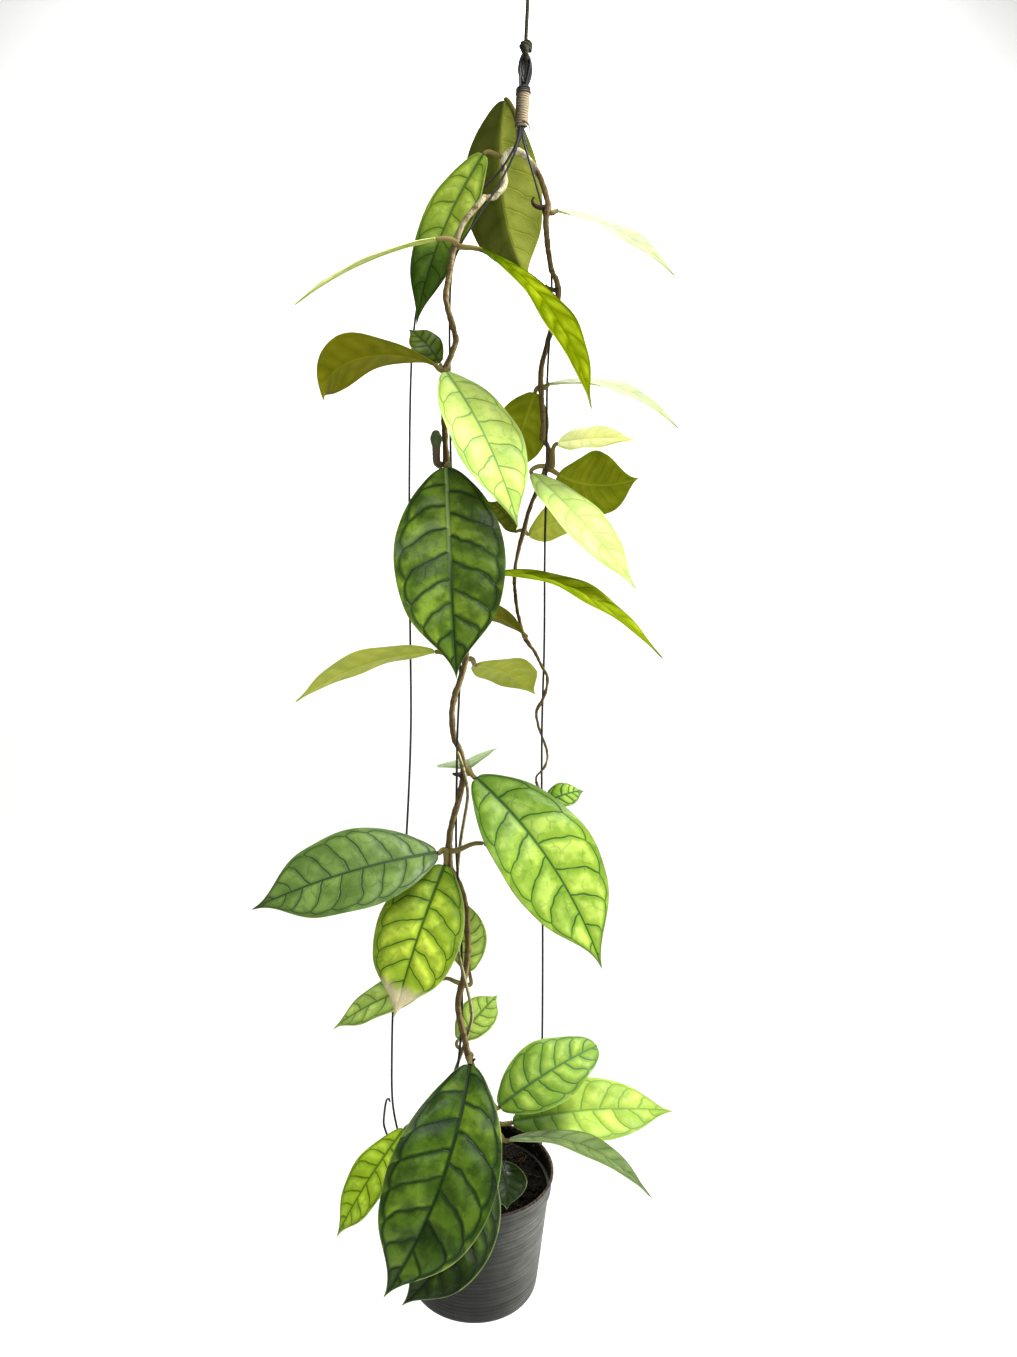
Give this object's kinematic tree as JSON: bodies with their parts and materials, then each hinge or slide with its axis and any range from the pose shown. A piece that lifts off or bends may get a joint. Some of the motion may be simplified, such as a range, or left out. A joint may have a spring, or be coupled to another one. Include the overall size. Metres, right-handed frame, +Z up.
{
  "type": "hanging potted hoya",
  "caption": "Hoya callistophylla vine with veined, quilted leaves, trained up the wire hanger of a small black nursery pot.",
  "frame": {"origin": "top of the cord loop that the whole plant hangs from", "axes": "+Z up, +X to the viewer's right, -Y towards the viewer: the side that the picture shows"},
  "size_m": [0.2836, 0.1642, 0.936],
  "materials": {
    "pot_black": "satin black plastic, ringed and streaked",
    "potting_mix": "damp bark and coir",
    "wire_black": "satin black wire",
    "cord_tan": "tan twine",
    "cord_olive": "dark olive cord",
    "stem_bark": "brown bark",
    "stem_young": "young olive stem",
    "leaf_dark": "thick leaf, semi-gloss",
    "leaf_green": "thick leaf, semi-gloss",
    "leaf_bright": "thick leaf, semi-gloss",
    "leaf_pale": "thick leaf, semi-gloss",
    "leaf_olive": "leaf underside, matte"
  },
  "bodies": {
    "root": {"pot": "pot_black", "potting_mix": "potting_mix", "wire_front": "wire_black", "wire_left": "wire_black", "wire_right": "wire_black", "binding": "cord_tan", "hanging_cord": "cord_olive", "cord_loop": "cord_olive", "cord_knot": "cord_olive", "vine": "stem_bark", "strand": "stem_young", "flower_spur": "stem_bark", "leaf_01_crown_back": "leaf_olive", "leaf_02_crown_left": "leaf_green", "leaf_03_shoulder_left": "leaf_pale", "leaf_04_shoulder_right": "leaf_bright", "leaf_05_trail_top_right": "leaf_pale", "leaf_06_arched_left": "leaf_olive", "leaf_07_young_left": "leaf_dark", "leaf_08_bright_middle": "leaf_pale", "leaf_09_dark_middle": "leaf_dark", "leaf_10_trail_back_left": "leaf_olive", "leaf_11_trail_right_upper": "leaf_pale", "leaf_12_trail_pale_right": "leaf_pale", "leaf_13_trail_olive_right": "leaf_olive", "leaf_14_trail_bright_front": "leaf_pale", "leaf_15_trail_small_left": "leaf_dark", "leaf_16_trail_small_back": "leaf_olive", "leaf_17_long_right": "leaf_green", "leaf_18_trail_low_left": "leaf_olive", "leaf_19_low_left": "leaf_olive", "leaf_20_low_back_right": "leaf_olive", "leaf_21_pointing_back": "leaf_green", "leaf_22_large_right": "leaf_bright", "leaf_23_trail_tip": "leaf_bright", "leaf_24_broad_left": "leaf_dark", "leaf_25_yellow_hanging": "leaf_bright", "leaf_26_upright_back": "leaf_green", "leaf_27_hidden_right": "leaf_green", "leaf_28_narrow_left": "leaf_green", "leaf_29_upright_small": "leaf_bright", "leaf_30_pot_right_upper": "leaf_bright", "leaf_31_pot_right_lower": "leaf_pale", "leaf_32_pot_right_drooping": "leaf_dark", "leaf_33_large_front": "leaf_dark", "leaf_34_front_over_rim": "leaf_dark", "leaf_35_small_at_rim": "leaf_dark", "leaf_36_pot_left": "leaf_bright"}
  },
  "joints": []
}
